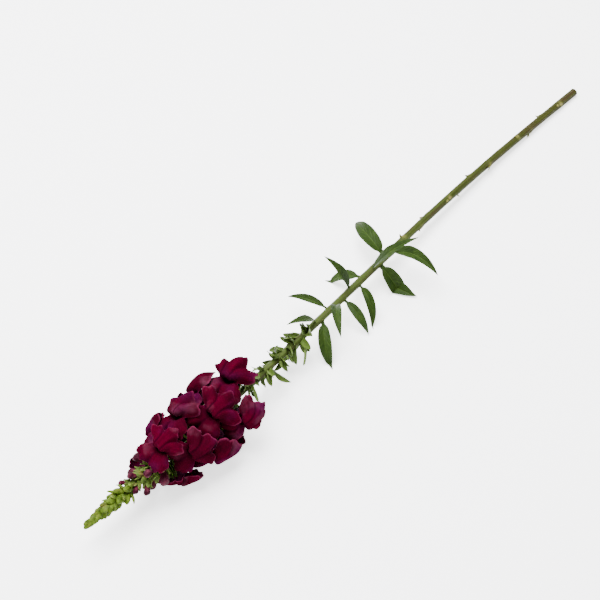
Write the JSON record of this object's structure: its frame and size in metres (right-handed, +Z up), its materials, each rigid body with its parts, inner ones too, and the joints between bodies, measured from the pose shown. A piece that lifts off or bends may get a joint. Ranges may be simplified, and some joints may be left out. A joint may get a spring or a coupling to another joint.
{
  "type": "snapdragon stem",
  "caption": "Cut snapdragon stem lying on its side: two-lipped crimson blooms in green calyces, buds closing up to a green tip, lance-shaped leaves, and a bare lower stem.",
  "frame": {"origin": "under the middle of the bounding box, on the surface that the stem lies on", "axes": "+X from the cut end to the tip of the flower spike, +Z up, away from the surface"},
  "size_m": [0.7238, 0.1098, 0.0678],
  "materials": {
    "stem": "satin green, ribbed",
    "leaf": "satin deep green, veined",
    "petal": "velvety crimson-magenta",
    "bud": "matte dusky pink-purple"
  },
  "bodies": {
    "root": {"stem": "stem", "leaf_01": "leaf", "leaf_02": "leaf", "leaf_03": "leaf", "leaf_04": "leaf", "leaf_05": "leaf", "leaf_06": "leaf", "leaf_07": "leaf", "leaf_08": "leaf", "leaf_09": "leaf", "leaf_10": "leaf", "leaf_11": "leaf", "leaf_12": "leaf", "bloom_01": "petal", "bloom_02": "petal", "bloom_03": "petal", "bloom_04": "petal", "bloom_05": "petal", "bloom_06": "petal", "bloom_07": "petal", "bloom_08": "petal", "bloom_09": "petal", "bloom_10": "petal", "bloom_11": "petal", "bloom_12": "petal", "bloom_13": "petal", "bloom_14": "petal", "bloom_15": "petal", "bud_01": "bud", "bud_02": "bud", "bud_03": "bud", "bud_04": "bud", "bud_05": "bud", "bud_06": "bud", "bud_07": "bud", "bud_08": "bud", "bud_09": "bud", "bud_10": "bud", "bud_11": "bud"}
  },
  "joints": []
}
